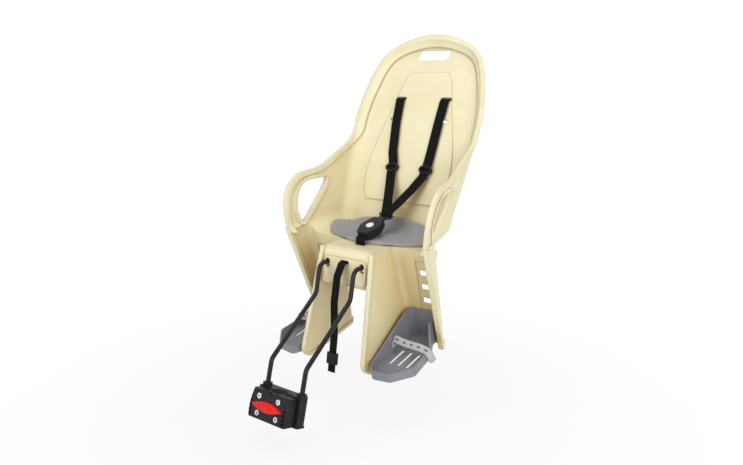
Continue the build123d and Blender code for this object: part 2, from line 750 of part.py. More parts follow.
def footrest():
    with BuildPart() as cup:
        extrude(cup_plan(CUP_FLOOR, 0), amount=CUP_TALL)
        extrude(cup_plan(CUP_FLOOR + CUP_WALL, CUP_WALL), amount=CUP_TALL, mode=Mode.SUBTRACT)
        with BuildSketch(LEG_SIDE.offset(CUP_IN - 10)):
            with BuildLine():
                Polyline(
                    (-220, CUP_FLOOR + 18), (-150, CUP_FLOOR + 22), (-28, CUP_FLOOR + CUP_TALL),
                    (-28, 200), (-220, 200),
                    close=True,
                )
            make_face()
        extrude(amount=40, mode=Mode.SUBTRACT)
        with BuildSketch(LEG_SIDE.offset(CUP_IN + 30)):
            with BuildLine():
                Polyline(
                    (-220, CUP_FLOOR + 18), (-66, CUP_FLOOR + 20), (-30, CUP_FLOOR + 54),
                    (-8, CUP_FLOOR + 54), (-8, 200), (-220, 200),
                    close=True,
                )
            make_face()
        extrude(amount=100, mode=Mode.SUBTRACT)
        with Locations(LEG):
            with Locations((LADDER_X, -CUP_GAP - 1, RAIL_FOOT)):
                Box(RAIL_WIDE, RAIL_DEEP, RAIL_TALL, align=(Align.CENTER, Align.MIN, Align.MIN))
        with BuildSketch(LEG.offset(0)):
            with Locations((116, -100), (137, -100), (158, -100)):
                SlotOverall(56, 7, rotation=90)
        extrude(amount=30, mode=Mode.SUBTRACT)
    return cup.part


left_cup = footrest()
with BuildPart() as footrest_left:
    add(left_cup)
with BuildPart() as footrest_right:
    add(left_cup.mirror(Plane.YZ))

STRAP_PLANE = Plane(origin=LEG.from_local_coords((0, -74, 0)), x_dir=(1, 0, 0), z_dir=-LEG.y_dir)
with BuildPart() as foot_strap_left:
    with BuildSketch(STRAP_PLANE):
        with BuildLine():
            FilletPolyline(
                (CUP_IN + CUP_WALL + 1.4, CUP_FLOOR + 12), (CUP_IN + CUP_WALL + 1.4, CUP_FLOOR + 34),
                (130, CUP_FLOOR + 28), (CUP_OUT + 8, CUP_FLOOR + 26),
                (CUP_OUT + 26, CUP_FLOOR + 22), (CUP_OUT + 37, CUP_FLOOR),
                radius=6,
            )
        trace(line_width=2.6)
    extrude(amount=18)
with BuildPart() as foot_strap_right:
    add(foot_strap_left.part.mirror(Plane.YZ))

# Shoulder straps, from behind the back rest to the tongues of the buckle
BUCKLE = Plane(
    origin=(
        0,
        SEAT_Y + BUCKLE_Y + BUCKLE_LONG / 2 * cos(radians(BUCKLE_TILT)),
        SEAT_Z + BUCKLE_Z + BUCKLE_LONG / 2 * sin(radians(BUCKLE_TILT)),
    ),
    x_dir=(1, 0, 0),
    z_dir=(0, -sin(radians(BUCKLE_TILT)), cos(radians(BUCKLE_TILT))),
)


def back_spot(x, v, n):
    return BACK.from_local_coords((x, v, n))


def buckle_spot(x, y, z):
    return BUCKLE.from_local_coords((x, y, z))


RING_LEFT = BUCKLE_LONG / 2 + 17
RING_RIGHT = BUCKLE_LONG / 2 + 34


def shoulder(side, ring, plate):
    slider_head = back_spot(side * 49 + HARNESS_SHIFT, SLIDER_V + SLIDER_REACH, 8)
    slider_foot = back_spot(side * 46 + HARNESS_SHIFT, SLIDER_V - SLIDER_REACH, 10)
    over_ring = buckle_spot(side * 6.6, ring + 4, plate + 6.5)
    droop = Vector(0, 0, -STRAP_DROOP)
    return strap_along(
        [
            back_spot(side * SLOT_X, SLOT_V, -16), back_spot(side * SLOT_X, SLOT_V, 3.4),
            back_spot(side * SLOT_X, SLOT_V - 2.5, 6), back_spot(side * (SLOT_X - 1), SLOT_V - 9, 7),
            back_spot(side * 60, 230, 7), back_spot(side * 54 + HARNESS_SHIFT * 0.5, 160, 7),
            slider_head, slider_foot,
            mix(slider_foot, over_ring, 0.3) + droop, mix(slider_foot, over_ring, 0.7) + droop,
            over_ring, buckle_spot(side * 6.2, ring + 0.8, plate + 3.5),
            buckle_spot(side * 6, ring, plate - 0.4),
        ],
        STRAP_WIDTH, STRAP_THICK,
    )


TONGUE_LEFT = 1.5
TONGUE_RIGHT = -1.5
with BuildPart() as shoulder_strap_left:
    add(shoulder(1, RING_LEFT, TONGUE_LEFT))
with BuildPart() as shoulder_strap_right:
    add(shoulder(-1, RING_RIGHT, TONGUE_RIGHT))


def slider(side):
    upper = back_spot(side * 49 + HARNESS_SHIFT, SLIDER_V + SLIDER_REACH, 8)
    lower = back_spot(side * 46 + HARNESS_SHIFT, SLIDER_V - SLIDER_REACH, 10)
    run = (upper - lower).normalized()
    across = Vector(1, 0, 0) - run * run.X
    frame = Plane(origin=(upper + lower) / 2, x_dir=across, z_dir=run)
    with BuildPart() as solid:
        with BuildSketch(frame.offset(-11)):
            RectangleRounded(STRAP_WIDTH + 10, 8.4, 3.5)
            Rectangle(STRAP_WIDTH + 1.5, STRAP_THICK + 1.4, mode=Mode.SUBTRACT)
        extrude(amount=22)
    return solid.part


with BuildPart() as strap_slider_left:
    add(slider(1))
with BuildPart() as strap_slider_right:
    add(slider(-1))

with BuildPart() as strap_anchors:
    with BuildSketch(BACK.offset(-WALL - 0.2)):
        with Locations((-SLOT_X, SLOT_V), (SLOT_X, SLOT_V)):
            RectangleRounded(STRAP_WIDTH + 14, 24, 4)
            Rectangle(STRAP_WIDTH + 1, STRAP_THICK + 1.4, mode=Mode.SUBTRACT)
    extrude(amount=-3)


def tongue(side, ring, plate):
    with BuildPart() as solid:
        with BuildSketch(BUCKLE.offset(plate - TONGUE_THICK / 2)):
            with Locations((0, BUCKLE_LONG / 2 - 20)):
                Rectangle(TONGUE_WIDE, ring - BUCKLE_LONG / 2 + 14, align=(Align.CENTER, Align.MIN))
            with Locations((side * 6, ring)):
                RectangleRounded(STRAP_WIDTH + 9, 17, 5)
            with Locations((side * 6, ring)):
                Rectangle(STRAP_WIDTH + 1.6, STRAP_THICK + 2.4, mode=Mode.SUBTRACT)
        extrude(amount=TONGUE_THICK)
    return solid.part


with BuildPart() as tongue_left:
    add(tongue(1, RING_LEFT, TONGUE_LEFT))
with BuildPart() as tongue_right:
    add(tongue(-1, RING_RIGHT, TONGUE_RIGHT))


def buckle_half(low, high, pocket_low, pocket_high):
    half = BUCKLE_LONG / 2
    wide = BUCKLE_WIDE / 2
    outline = [
        (-15, -half), (15, -half), (wide, -4), (wide - 4, 12),
        (14, half), (-14, half), (-wide + 4, 12), (-wide, -4),
    ]
    with BuildPart() as solid:
        with BuildSketch(BUCKLE.offset(low)) as plan:
            with BuildLine():
                Polyline(*outline, close=True)
            make_face()
            fillet(plan.vertices(), 5)
        extrude(amount=high - low)
        with BuildSketch(BUCKLE.offset(pocket_low)) as plan:
            with BuildLine():
                Polyline(*outline, close=True)
            make_face()
            fillet(plan.vertices(), 5)
            offset(amount=-3, mode=Mode.REPLACE)
        extrude(amount=pocket_high - pocket_low, mode=Mode.SUBTRACT)
        with Locations(BUCKLE):
            with Locations((0, half, 0)):
                Box(TONGUE_WIDE + 1, 20, 6.6, mode=Mode.SUBTRACT)
            with Locations((0, -half, 0)):
                Box(STRAP_WIDTH + 1, 20, 3.6, mode=Mode.SUBTRACT)
    return solid.part


with BuildPart() as buckle_rear:
    add(buckle_half(-9, 0, -6.5, 0))
with BuildPart() as buckle_front:
    add(buckle_half(0.05, 9, 0.05, 6.5))
    with BuildSketch(BUCKLE.offset(-1)):
        with Locations((0, BUTTON_Y)):
            Circle(BUTTON / 2 + 0.35)
    extrude(amount=20, mode=Mode.SUBTRACT)

with BuildPart() as buckle_button:
    with BuildSketch(BUCKLE.offset(2)):
        with Locations((0, BUTTON_Y)):
            Circle(BUTTON / 2 + 1.6)
    extrude(amount=4.2)
    with BuildSketch(BUCKLE.offset(2)):
        with Locations((0, BUTTON_Y)):
            Circle(BUTTON / 2)
    extrude(amount=9)
    fillet(buckle_button.faces().sort_by(Axis(BUCKLE.origin, BUCKLE.z_dir))[-1].edges(), 1.2)

with BuildPart() as buckle_spring:
    with BuildSketch(Plane(origin=buckle_spot(0, BUTTON_Y - 3, 0), x_dir=(1, 0, 0), z_dir=BUCKLE.y_dir)):
        with BuildLine():
            ThreePointArc((-9, 6.1), (0, -1.6), (9, 6.1))
        trace(line_width=0.5)
    extrude(amount=6)

with BuildPart() as crotch_strap:
    with BuildSketch(SIDE.offset(-STRAP_WIDTH / 2)):
        with BuildLine():
            strap_end = (
                BUCKLE_Y + 9 * cos(radians(BUCKLE_TILT)),
                BUCKLE_Z + 9 * sin(radians(BUCKLE_TILT)),
            )
            FilletPolyline((CROTCH_Y, 238), (CROTCH_Y, BUCKLE_Z - 3.5), strap_end, radius=3)
        trace(line_width=STRAP_THICK)
    extrude(amount=STRAP_WIDTH)

with BuildPart() as crotch_anchor:
    with BuildSketch(SEAT.offset(pan_height(CROTCH_Y) - WALL - 5)):
        with Locations((0, CROTCH_Y)):
            RectangleRounded(STRAP_WIDTH + 14, 18, 4)
            Rectangle(STRAP_WIDTH + 1, STRAP_THICK + 1.4, mode=Mode.SUBTRACT)
    extrude(amount=3)

with BuildPart() as safety_strap:
    with BuildSketch(SIDE.offset(-SAFETY_WIDTH / 2)):
        with BuildLine():
            FilletPolyline(
                (24, SAFETY_Z), (-8, SAFETY_Z), (-24, 205), (-34, 150), (-34, 77), (-40, 30), (-44, -4),
                radius=7,
            )
        trace(line_width=STRAP_THICK)
    extrude(amount=SAFETY_WIDTH)

with BuildPart() as safety_anchor:
    with BuildSketch(FRONT.offset(-apron_back(SAFETY_Z + 9) - 3.1)):
        with Locations((0, SAFETY_Z)):
            RectangleRounded(SAFETY_WIDTH + 14, 18, 4)
            Rectangle(SAFETY_WIDTH + 1, STRAP_THICK + 1.4, mode=Mode.SUBTRACT)
    extrude(amount=3)

run = Vector(0, -6, -47).normalized()
with BuildPart() as safety_buckle:
    frame = Plane(origin=seat_point(0, -40.5, 26), x_dir=(1, 0, 0), z_dir=run)
    with BuildSketch(frame.offset(-12)):
        RectangleRounded(SAFETY_WIDTH + 8, 9, 3)
        Rectangle(SAFETY_WIDTH + 1.2, STRAP_THICK + 2.2, mode=Mode.SUBTRACT)
    extrude(amount=24)

pieces = {
    "seat_shell": seat_shell,
    "seat_pad": seat_pad,
    "carrier_wire": carrier_wire,
    "carrier_clamp_front": carrier_clamp_front,
    "carrier_clamp_rear": carrier_clamp_rear,
    "carrier_screws": carrier_screws,
    "mount_block": mount_block,
    "clamp_plate": clamp_plate,
    "clamp_screws": clamp_screws,
    "clamp_nuts": clamp_nuts,
    "tube_liner_rear": tube_liner_rear,
    "tube_liner_front": tube_liner_front,
    "release_button": release_button,
    "latch_plate": latch_plate,
    "latch_spring": latch_spring,
    "footrest_left": footrest_left,
    "footrest_right": footrest_right,
    "foot_strap_left": foot_strap_left,
    "foot_strap_right": foot_strap_right,
    "shoulder_strap_left": shoulder_strap_left,
    "shoulder_strap_right": shoulder_strap_right,
    "strap_slider_left": strap_slider_left,
    "strap_slider_right": strap_slider_right,
    "strap_anchors": strap_anchors,
    "tongue_left": tongue_left,
    "tongue_right": tongue_right,
    "buckle_front": buckle_front,
    "buckle_rear": buckle_rear,
    "buckle_button": buckle_button,
    "buckle_spring": buckle_spring,
    "crotch_strap": crotch_strap,
    "crotch_anchor": crotch_anchor,
    "safety_strap": safety_strap,
    "safety_anchor": safety_anchor,
    "safety_buckle": safety_buckle,
}
for name, piece in pieces.items():
    piece.part.label = name
    export_step(piece.part, f"parts/{name}.step")
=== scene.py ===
"""Looks of the child bike seat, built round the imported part."""

import json
import math

import bmesh
import bpy
import numpy as np
from mathutils import Matrix, Vector, bvhtree, kdtree


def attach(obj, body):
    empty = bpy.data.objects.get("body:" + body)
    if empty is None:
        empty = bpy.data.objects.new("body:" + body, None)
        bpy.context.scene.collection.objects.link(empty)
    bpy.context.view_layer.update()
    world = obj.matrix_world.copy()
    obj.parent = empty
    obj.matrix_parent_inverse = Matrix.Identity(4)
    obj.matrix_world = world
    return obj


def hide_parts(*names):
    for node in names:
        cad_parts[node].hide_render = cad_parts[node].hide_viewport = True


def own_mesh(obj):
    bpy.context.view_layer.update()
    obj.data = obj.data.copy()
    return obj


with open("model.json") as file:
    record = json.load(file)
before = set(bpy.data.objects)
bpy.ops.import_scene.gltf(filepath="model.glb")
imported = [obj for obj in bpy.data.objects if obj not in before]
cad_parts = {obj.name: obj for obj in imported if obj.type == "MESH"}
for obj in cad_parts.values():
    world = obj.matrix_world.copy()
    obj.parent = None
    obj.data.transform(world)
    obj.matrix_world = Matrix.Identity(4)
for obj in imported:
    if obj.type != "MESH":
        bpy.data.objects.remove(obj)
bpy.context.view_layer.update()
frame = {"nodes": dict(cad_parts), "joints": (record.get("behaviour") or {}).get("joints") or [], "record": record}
nodes = frame["nodes"]

MM = 0.001

# Materials
NOISE_ROUGH = 0.55
NOISE_SPAN = (0.3, 0.7)
NOISE_DETAIL = 3.0
GRAIN_DETAIL = 2.0
EDGE_SAMPLES = 6
# Painted shade in hollows: ambient occlusion samples, reach, and the span over which the colour turns deeper
PAINTED_SHADE_SAMPLES = 8
PAINTED_SHADE_REACH = 0.24
PAINTED_SHADE_SPAN = (0.25, 0.85)
PLASTIC_DETAIL = 4.0
PLASTIC_GLOSS = 0.06
PLASTIC_GLOSS_FINER = 5
PLASTIC_GRAIN_DEEP = 0.0004
METAL_DETAIL = 5.0
METAL_GLOSS = 0.07
METAL_GRAIN_DEEP = 0.0002
METAL_EDGE = 0.4
METAL_SCALES = (60.0, 240.0, 1500.0)
YARNS_PER_METRE = 100.0
YARN_SIZE = (0.24, 0.10)
YARN_GAP = (0.02, 0.8)
YARN_GAP_COLOUR = (0.002, 0.002, 0.002, 1.0)
YARN_ROUGH = (0.7, 0.9)
YARN_ROUGH_SCALE = 300.0
YARN_GLEAM = 0.08
YARN_RELIEF = (0.6, 0.0005)


def new_material(name):
    material = bpy.data.materials.new(name)
    material.use_nodes = True
    tree = material.node_tree
    shader = tree.nodes["Principled BSDF"]
    coords = tree.nodes.new("ShaderNodeTexCoord")
    return material, tree, shader, coords


def noise(tree, vector, scale, detail=NOISE_DETAIL):
    node = tree.nodes.new("ShaderNodeTexNoise")
    node.inputs["Scale"].default_value = scale
    node.inputs["Detail"].default_value = detail
    node.inputs["Roughness"].default_value = NOISE_ROUGH
    tree.links.new(vector, node.inputs["Vector"])
    return node.outputs["Fac"]


def ramp(tree, value, *colours):
    """The noise as a drift from the first colour to the second."""
    node = tree.nodes.new("ShaderNodeValToRGB")
    for element, place, colour in zip(node.color_ramp.elements, NOISE_SPAN, colours):
        element.position = place
        element.color = (*colour, 1.0)
    tree.links.new(value, node.inputs["Fac"])
    return node.outputs["Color"]


def spread(tree, value, low, high):
    """The noise as a number between two limits."""
    node = tree.nodes.new("ShaderNodeMapRange")
    node.inputs["From Min"].default_value, node.inputs["From Max"].default_value = NOISE_SPAN
    node.inputs["To Min"].default_value = low
    node.inputs["To Max"].default_value = high
    tree.links.new(value, node.inputs["Value"])
    return node.outputs["Result"]


def bump(tree, shader, height, strength, distance, before=None):
    node = tree.nodes.new("ShaderNodeBump")
    node.inputs["Strength"].default_value = strength
    node.inputs["Distance"].default_value = distance
    tree.links.new(height, node.inputs["Height"])
    if before is not None:
        tree.links.new(before, node.inputs["Normal"])
    tree.links.new(node.outputs["Normal"], shader.inputs["Normal"])


def eased_edges(tree, radius):
    """Shading that rounds the edges, as a mould leaves them."""
    node = tree.nodes.new("ShaderNodeBevel")
    node.samples = EDGE_SAMPLES
    node.inputs["Radius"].default_value = radius * MM
    return node.outputs["Normal"]


def painted_hollow_shade(tree, colour, deep):
    """The colour turned towards a deeper one in hollows by ambient occlusion: painted shade standing in for the
    light bouncing between the walls.
    """
    hollow = tree.nodes.new("ShaderNodeAmbientOcclusion")
    hollow.samples = PAINTED_SHADE_SAMPLES
    hollow.inputs["Distance"].default_value = PAINTED_SHADE_REACH
    share = tree.nodes.new("ShaderNodeMapRange")
    share.inputs["From Min"].default_value, share.inputs["From Max"].default_value = PAINTED_SHADE_SPAN
    tree.links.new(hollow.outputs["AO"], share.inputs["Value"])
    blend = tree.nodes.new("ShaderNodeMix")
    blend.data_type = "RGBA"
    blend.inputs["A"].default_value = (*deep, 1.0)
    tree.links.new(share.outputs["Result"], blend.inputs["Factor"])
    tree.links.new(colour, blend.inputs["B"])
    return blend.outputs["Result"]


def plastic(
    name, dark, light, rough, grain, grain_scale=900.0, blotch=14.0, edge=0.8, deep=None, gleam=0.5
):
    """Moulded plastic: slow colour drift, fine spark-eroded grain, uneven gloss, and painted shade in hollows when
    deep is given.
    """
    material, tree, shader, coords = new_material(name)
    place = coords.outputs["Object"]
    colour = ramp(tree, noise(tree, place, blotch, PLASTIC_DETAIL), dark, light)
    # Painted shade: the colour turns towards deep in hollows, by ambient occlusion
    if deep:
        colour = painted_hollow_shade(tree, colour, deep)
    patches = noise(tree, place, blotch * PLASTIC_GLOSS_FINER)
    gloss = spread(tree, patches, rough - PLASTIC_GLOSS, rough + PLASTIC_GLOSS)
    shader.inputs["Specular IOR Level"].default_value = gleam
    tree.links.new(colour, shader.inputs["Base Color"])
    tree.links.new(gloss, shader.inputs["Roughness"])
    height = noise(tree, place, grain_scale, GRAIN_DETAIL)
    bump(tree, shader, height, grain, PLASTIC_GRAIN_DEEP, eased_edges(tree, edge))
    return material


def metal(name, dark, light, rough, metallic, grain, gleam=0.5):
    """Bare or coated metal: patchy colour, uneven gloss, fine grain."""
    drift, patch, fine = METAL_SCALES
    material, tree, shader, coords = new_material(name)
    place = coords.outputs["Object"]
    shader.inputs["Metallic"].default_value = metallic
    shader.inputs["Specular IOR Level"].default_value = gleam
    colour = ramp(tree, noise(tree, place, drift, METAL_DETAIL), dark, light)
    gloss = spread(tree, noise(tree, place, patch), rough - METAL_GLOSS, rough + METAL_GLOSS)
    tree.links.new(colour, shader.inputs["Base Color"])
    tree.links.new(gloss, shader.inputs["Roughness"])
    height = noise(tree, place, fine, GRAIN_DETAIL)
    bump(tree, shader, height, grain, METAL_GRAIN_DEEP, eased_edges(tree, METAL_EDGE))
    return material


def woven(name, dark, light):
    """Webbing: staggered yarns in the band's own map, which is in metres."""
    material, tree, shader, coords = new_material(name)
    yarn = tree.nodes.new("ShaderNodeTexBrick")
    yarn.inputs["Scale"].default_value = YARNS_PER_METRE
    yarn.inputs["Brick Width"].default_value, yarn.inputs["Row Height"].default_value = YARN_SIZE
    yarn.inputs["Mortar Size"].default_value, yarn.inputs["Mortar Smooth"].default_value = YARN_GAP
    yarn.inputs["Color1"].default_value = (*light, 1.0)
    yarn.inputs["Color2"].default_value = (*dark, 1.0)
    yarn.inputs["Mortar"].default_value = YARN_GAP_COLOUR
    tree.links.new(coords.outputs["UV"], yarn.inputs["Vector"])
    shader.inputs["Specular IOR Level"].default_value = YARN_GLEAM
    tree.links.new(yarn.outputs["Color"], shader.inputs["Base Color"])
    gloss = spread(tree, noise(tree, coords.outputs["Object"], YARN_ROUGH_SCALE), *YARN_ROUGH)
    tree.links.new(gloss, shader.inputs["Roughness"])
    gaps = tree.nodes.new("ShaderNodeMath")
    gaps.operation = "SUBTRACT"
    gaps.inputs[0].default_value = 1.0
    tree.links.new(yarn.outputs["Fac"], gaps.inputs[1])
    bump(tree, shader, gaps.outputs["Value"], *YARN_RELIEF)
    return material


IVORY = ((0.79, 0.72, 0.455), (0.84, 0.775, 0.53))
FOOTREST = ((0.20, 0.205, 0.235), (0.25, 0.255, 0.285))
BLACK = ((0.010, 0.010, 0.012), (0.022, 0.022, 0.025))
RED = ((0.62, 0.010, 0.010), (0.74, 0.018, 0.014))
WIRE = ((0.012, 0.012, 0.013), (0.024, 0.024, 0.026))
# The ivory's deep colour is painted shade, a darker tan laid into the shell's hollows
ivory = plastic("ivory_plastic", *IVORY, 0.42, 0.05, edge=4.0, deep=(0.62, 0.47, 0.22))
footrest_grey = plastic("footrest_plastic", *FOOTREST, 0.5, 0.12, edge=1.6)
strap_grey = plastic("foot_strap_rubber", (0.38, 0.38, 0.39), (0.45, 0.45, 0.46), 0.55, 0.1, edge=0.5)
black_plastic = plastic("black_plastic", *BLACK, 0.42, 0.2, gleam=0.12)
red_plastic = plastic("red_plastic", *RED, 0.28, 0.04, gleam=0.25)
white_plastic = plastic("white_plastic", (0.80, 0.80, 0.80), (0.88, 0.88, 0.87), 0.3, 0.03)
rubber = plastic("liner_rubber", (0.02, 0.02, 0.02), (0.035, 0.035, 0.035), 0.75, 0.25)
black_wire = metal("wire_coating", *WIRE, 0.2, 0.0, 0.05, gleam=0.15)
steel = metal("screw_steel", (0.50, 0.51, 0.53), (0.66, 0.67, 0.69), 0.3, 1.0, 0.08)
pad_grey = plastic("pad_foam", (0.29, 0.285, 0.30), (0.35, 0.345, 0.36), 0.8, 0.3, 700.0, 20.0)
webbing = woven("webbing", (0.006, 0.006, 0.0065), (0.013, 0.013, 0.014))

finish_of = {
    "ivory_shell": ivory,
    "grey_pad": pad_grey,
    "black_wire": black_wire,
    "black_plastic": black_plastic,
    "steel": steel,
    "liner_rubber": rubber,
    "red_button": red_plastic,
    "grey_footrest": footrest_grey,
    "grey_strap": strap_grey,
    "white_button": white_plastic,
    "webbing": webbing,
}
for part in frame["record"]["subparts"]:
    piece = nodes[part["node"]]
    piece.data.materials.clear()
    piece.data.materials.append(finish_of[part["material_slot"]])


# Frames of the part that the soft pieces follow, in metres, from places in mm
def direction(degrees_up):
    angle = math.radians(degrees_up)
    return Vector((0, math.cos(angle), math.sin(angle)))


ACROSS = Vector((1, 0, 0))
SEAT_Y, SEAT_Z = 207.0, 24.0
RECLINE = 21.0
BACK_ORIGIN = Vector((0, 394 * MM, 324 * MM))
BACK_UP = direction(90.0 - RECLINE)
BACK_OUT = direction(180.0 - RECLINE)
LEG_LEAN = 14.6
LEG_ORIGIN = Vector((0, 344 * MM, 70.5 * MM))
LEG_REAR = direction(LEG_LEAN)
LEG_UP = direction(90.0 + LEG_LEAN)
BUCKLE_TILT = 22.0
BUCKLE_HALF = 33.0
BUCKLE_REAR = direction(BUCKLE_TILT)
BUCKLE_OUT = direction(BUCKLE_TILT + 90.0)
BUCKLE_FOOT = Vector((0, 269 * MM, 303.5 * MM))
BUCKLE_ORIGIN = BUCKLE_FOOT + BUCKLE_REAR * BUCKLE_HALF * MM


def back_spot(across, up, out):
    return BACK_ORIGIN + (ACROSS * across + BACK_UP * up + BACK_OUT * out) * MM


def leg_spot(across, rear, up):
    return LEG_ORIGIN + (ACROSS * across + LEG_REAR * rear + LEG_UP * up) * MM


def buckle_spot(across, rear, out):
    return BUCKLE_ORIGIN + (ACROSS * across + BUCKLE_REAR * rear + BUCKLE_OUT * out) * MM


def seat_spot(x, y, z):
    return Vector((x, y + SEAT_Y, z + SEAT_Z)) * MM


# Mesh helpers
JOIN_REACH = 0.01
SOFT_FACTOR = 0.5
PATH_STEP = 1.0
FEWEST_STEPS = 4
SELVEDGE_DEGREES = (-90, -45, 0, 45, 90)
FACE_SHARES = (0.6, 0.2, -0.2, -0.6)


def add_object(name, mesh, material, body, node):
    """A piece in the place of a node, on that body, with its finish."""
    piece = bpy.data.objects.new(name, mesh)
    bpy.context.scene.collection.objects.link(piece)
    mesh.materials.clear()
    mesh.materials.append(material)
    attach(piece, body)
    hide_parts(node)
    return piece


def as_mesh(work, name):
    """The worked faces as a new mesh."""
    mesh = bpy.data.meshes.new(name)
    work.to_mesh(mesh)
    work.free()
    return mesh


def smooth_faces(faces):
    for face in faces:
        face.smooth = True


def band_faces(work, first, second):
    """Faces between two closed loops that have as many points as each other."""
    count = len(first)
    return [
        work.faces.new((first[k], first[(k + 1) % count], second[(k + 1) % count], second[k]))
        for k in range(count)
    ]


def baked(piece):
    """The piece's mesh with its modifiers worked in."""
    graph = bpy.context.evaluated_depsgraph_get()
    return bpy.data.meshes.new_from_object(piece.evaluated_get(graph))


def joined_copy(node):
    """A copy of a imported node's mesh with the seams between its faces closed."""
    mesh = nodes[node].data.copy()
    work = bmesh.new()
    work.from_mesh(mesh)
    bmesh.ops.remove_doubles(work, verts=work.verts, dist=JOIN_REACH * MM)
    work.to_mesh(mesh)
    work.free()
    return mesh


def remeshed(node, voxel, passes):
    """A node's form on an even grid, with its edges softened."""
    rough = bpy.data.objects.new("rough_" + node, joined_copy(node))
    bpy.context.scene.collection.objects.link(rough)
    grid = rough.modifiers.new("grid", "REMESH")
    grid.mode = "VOXEL"
    grid.voxel_size = voxel * MM
    grid.use_smooth_shade = True
    soft = rough.modifiers.new("soft", "SMOOTH")
    soft.factor = SOFT_FACTOR
    soft.iterations = passes
    mesh = baked(rough)
    bpy.data.objects.remove(rough)
    return mesh


def evenly(points, step):
    """Points at equal steps along a broken line, and its length."""
    lengths = [0.0]
    for before, after in zip(points, points[1:]):
        lengths.append(lengths[-1] + (after - before).length)
    steps = max(FEWEST_STEPS, round(lengths[-1] / step))
    spots = np.linspace(0, lengths[-1], steps + 1)
    columns = [np.interp(spots, lengths, [p[axis] for p in points]) for axis in range(3)]
    return [Vector(p) for p in zip(*columns)], lengths[-1]


def smooth_path(points, passes=6):
    """The broken line with its corners rounded, as an even row of points."""
    path, _ = evenly(points, PATH_STEP * MM)
    for _ in range(passes):
        middle = [(a + b * 2 + c) / 4 for a, b, c in zip(path, path[1:], path[2:])]
        path = [path[0], *middle, path[-1]]
    return evenly(path, 2 * PATH_STEP * MM)


def path_frames(path, across):
    """For each point: the point, the direction across the band and the one out of its face."""
    for index, spot in enumerate(path):
        ahead = path[min(index + 1, len(path) - 1)] - path[max(index - 1, 0)]
        ahead.normalize()
        wide = (across - ahead * across.dot(ahead)).normalized()
        yield spot, wide, ahead.cross(wide)


def strap_mesh(name, points, width, thick):
    """Woven band along a path: rounded selvedges, closed ends, and a UV map in metres."""
    path, length = smooth_path(points)
    half, flat = width / 2 * MM, thick / 2 * MM
    outline = []
    for side in (1, -1):
        for degrees in SELVEDGE_DEGREES:
            angle = math.radians(degrees) * side
            outline.append((side * (half - flat + flat * math.cos(angle)), flat * math.sin(angle)))
        for share in FACE_SHARES:
            outline.append((side * share * half, side * flat))
    work = bmesh.new()
    weave = work.loops.layers.uv.new("weave")
    rings = []
    for spot, wide, deep in path_frames(path, ACROSS):
        rings.append([work.verts.new(spot + wide * u + deep * w) for u, w in outline])
    for index, (first, second) in enumerate(zip(rings, rings[1:])):
        along = (index, index, index + 1, index + 1)
        faces = band_faces(work, first, second)
        smooth_faces(faces)
        for k, face in enumerate(faces):
            after = (k + 1) % len(outline)
            for loop, place, corner in zip(face.loops, along, (k, after, after, k)):
                loop[weave].uv = (outline[corner][0], place * length / (len(path) - 1))
    work.faces.new(list(reversed(rings[0])))
    work.faces.new(rings[-1])
    bmesh.ops.recalc_face_normals(work, faces=work.faces)
    return as_mesh(work, name)


# Harness webbing, along the same lines as the solids
STRAP_WIDTH = 25.0
STRAP_THICK = 1.8
SAFETY_WIDTH = 20.0
SLOT_X, SLOT_UP = 64.0, 295.0
SLIDER_UP, SLIDER_REACH = 120.0, 15.0
SLIDER_HEAD_X, SLIDER_HEAD_OUT = 49.0, 8.0
SLIDER_FOOT_X, SLIDER_FOOT_OUT = 46.0, 10.0
HARNESS_SHIFT = 8.0
STRAP_DROOP = 4.0
RING_LEFT, RING_RIGHT = (BUCKLE_HALF + 17.0, 1.5), (BUCKLE_HALF + 34.0, -1.5)
CROTCH_Y, CROTCH_FOOT, CROTCH_TOP, CROTCH_TAIL = 54.0, 238.0, 276.0, 9.0
SAFETY_POINTS = ((24, 231), (-8, 231), (-24, 205), (-34, 150), (-34, 77), (-40, 30), (-44, -4))


def slider_ends(side):
    """Where the strap enters a slider and where it leaves."""
    head = back_spot(side * SLIDER_HEAD_X + HARNESS_SHIFT, SLIDER_UP + SLIDER_REACH, SLIDER_HEAD_OUT)
    foot = back_spot(side * SLIDER_FOOT_X + HARNESS_SHIFT, SLIDER_UP - SLIDER_REACH, SLIDER_FOOT_OUT)
    return head, foot


def shoulder_line(side, ring, plate):
    """From behind the back, out of its slot, down through the slider and over the tongue's ring."""
    head, foot = slider_ends(side)
    over_ring = buckle_spot(side * 6.6, ring + 4, plate + 6.5)
    droop = Vector((0, 0, -STRAP_DROOP * MM))
    return [
        back_spot(side * SLOT_X, SLOT_UP, -16),
        back_spot(side * SLOT_X, SLOT_UP, 3.4),
        back_spot(side * SLOT_X, SLOT_UP - 2.5, 6),
        back_spot(side * (SLOT_X - 1), SLOT_UP - 9, 7),
        back_spot(side * 60, 230, 7),
        back_spot(side * 54 + HARNESS_SHIFT * 0.5, 160, 7),
        head,
        foot,
        foot.lerp(over_ring, 0.3) + droop,
        foot.lerp(over_ring, 0.7) + droop,
        over_ring,
        buckle_spot(side * 6.2, ring + 0.8, plate + 3.5),
        buckle_spot(side * 6, ring, plate - 0.4),
    ]


crotch_line = [
    seat_spot(0, CROTCH_Y, CROTCH_FOOT),
    seat_spot(0, CROTCH_Y, CROTCH_TOP),
    BUCKLE_FOOT + BUCKLE_REAR * CROTCH_TAIL * MM,
]
safety_line = [seat_spot(0, y, z) for y, z in SAFETY_POINTS]
bands = {
    "shoulder_strap_left": (shoulder_line(1, *RING_LEFT), STRAP_WIDTH),
    "shoulder_strap_right": (shoulder_line(-1, *RING_RIGHT), STRAP_WIDTH),
    "crotch_strap": (crotch_line, STRAP_WIDTH),
    "safety_strap": (safety_line, SAFETY_WIDTH),
}
for node, (line, width) in bands.items():
    mesh = strap_mesh(node + "_webbing", line, width, STRAP_THICK)
    add_object(node + "_webbing", mesh, webbing, "seat", node)


